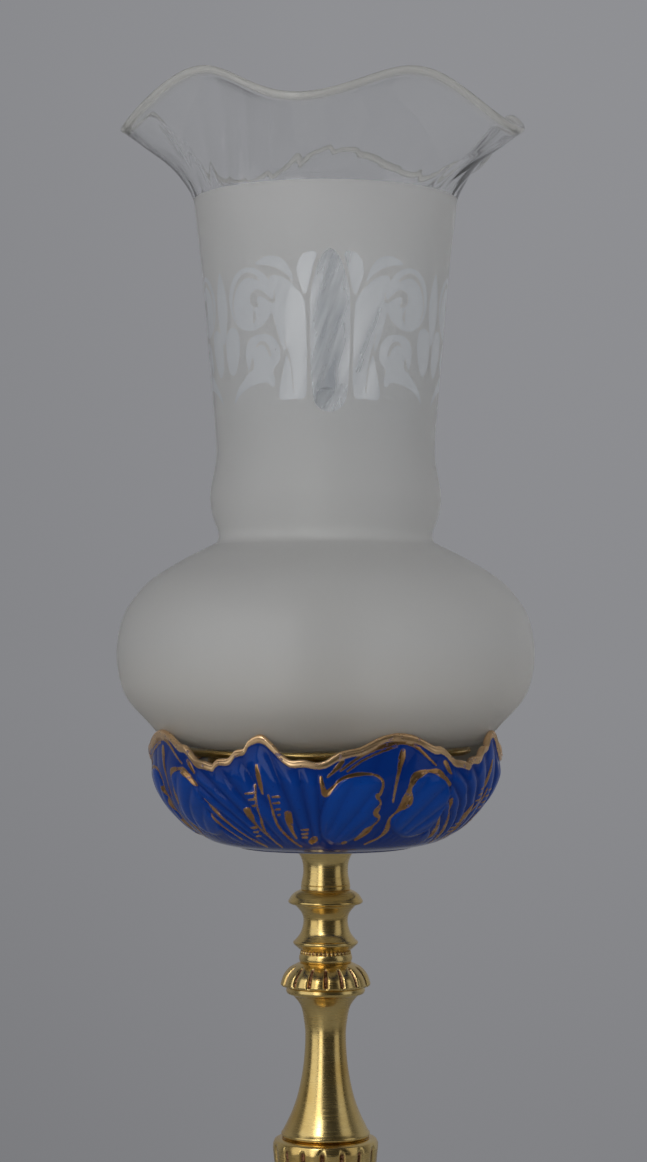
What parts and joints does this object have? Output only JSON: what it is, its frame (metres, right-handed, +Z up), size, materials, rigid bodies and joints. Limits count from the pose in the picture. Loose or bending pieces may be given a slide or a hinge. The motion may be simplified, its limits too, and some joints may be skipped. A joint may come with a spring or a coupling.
{
  "type": "table lamp",
  "caption": "Column table lamp: a frosted glass vase shade with a ruffled mouth stands in a leaf-moulded porcelain bowl on a turned brass column and round foot.",
  "frame": {"origin": "centre of the felt face that rests on the table", "axes": "+Z up the column; the front of the lamp faces -Y and the cord inlet faces +Y"},
  "size_m": [0.1602, 0.1602, 0.5305],
  "materials": {
    "brass": "polished, lightly aged, with fine turning lines",
    "cobalt_gilt": "glossy cobalt glaze with a worn gilt edge and gilt leaf veins",
    "frosted_glass": "acid-frosted outside with clear etched motifs and a clear mouth",
    "clear_glass": "clear, thin blown glass",
    "black_plastic": "moulded phenolic, dull sheen",
    "white_ceramic": "unglazed steatite",
    "nickel": "thin nickel plate on brass, satin",
    "contact_bronze": "phosphor bronze, bare",
    "iron": "as cast, oiled",
    "felt": "green wool felt",
    "leather": "thin vegetable-tanned washers",
    "bulb_black": "black vitrite glass",
    "tungsten": "dull grey wire"
  },
  "bodies": {
    "lamp_body": {"felt_pad": "felt", "foot_weight": "iron", "foot_rim": "brass", "foot_dome": "brass", "cord_bush": "black_plastic", "foot_washer": "nickel", "foot_nut": "brass", "threaded_rod": "brass", "lower_knop": "brass", "urn_ring": "brass", "fluted_urn": "brass", "baluster": "brass", "fluted_collar": "brass", "beaded_band": "brass", "column_spool": "brass", "drip_ring": "brass", "neck_cup": "brass", "lower_washer": "leather", "leaf_bowl": "cobalt_gilt", "upper_washer": "leather", "shade_gallery": "brass", "gallery_nut": "brass", "spacer_tube": "brass", "holder_base": "black_plastic", "holder_skirt": "black_plastic", "holder_insert": "white_ceramic", "holder_thread_shell": "nickel", "holder_contact": "contact_bronze", "terminal_screws": "nickel"},
    "shade": {"glass_shade": "frosted_glass"},
    "bulb_pip": {"bulb_contact": "nickel"},
    "bulb": {"bulb_insulator": "bulb_black", "bulb_cap": "nickel", "bulb_glass": "clear_glass", "bulb_stem": "clear_glass", "bulb_leads": "nickel", "bulb_filament": "tungsten"}
  },
  "joints": [
    {"name": "shade_lift", "type": "slide", "parent": "lamp_body", "child": "shade", "axis": [0, 0, 1], "range_m": [0, 0.17]},
    {"name": "bulb_rise", "type": "slide", "parent": "lamp_body", "child": "bulb_pip", "axis": [0, 0, 1], "range_m": [0, 0.0142]},
    {"name": "bulb_turn", "type": "hinge", "parent": "bulb_pip", "child": "bulb", "pos_m": [0, 0, 0.33], "axis": [0, 0, 1], "range_deg": [0, 1800]}
  ],
  "couplings": [
    {"joint": "bulb_rise", "follows": "bulb_turn", "m_per_rad": 0.00044882}
  ]
}
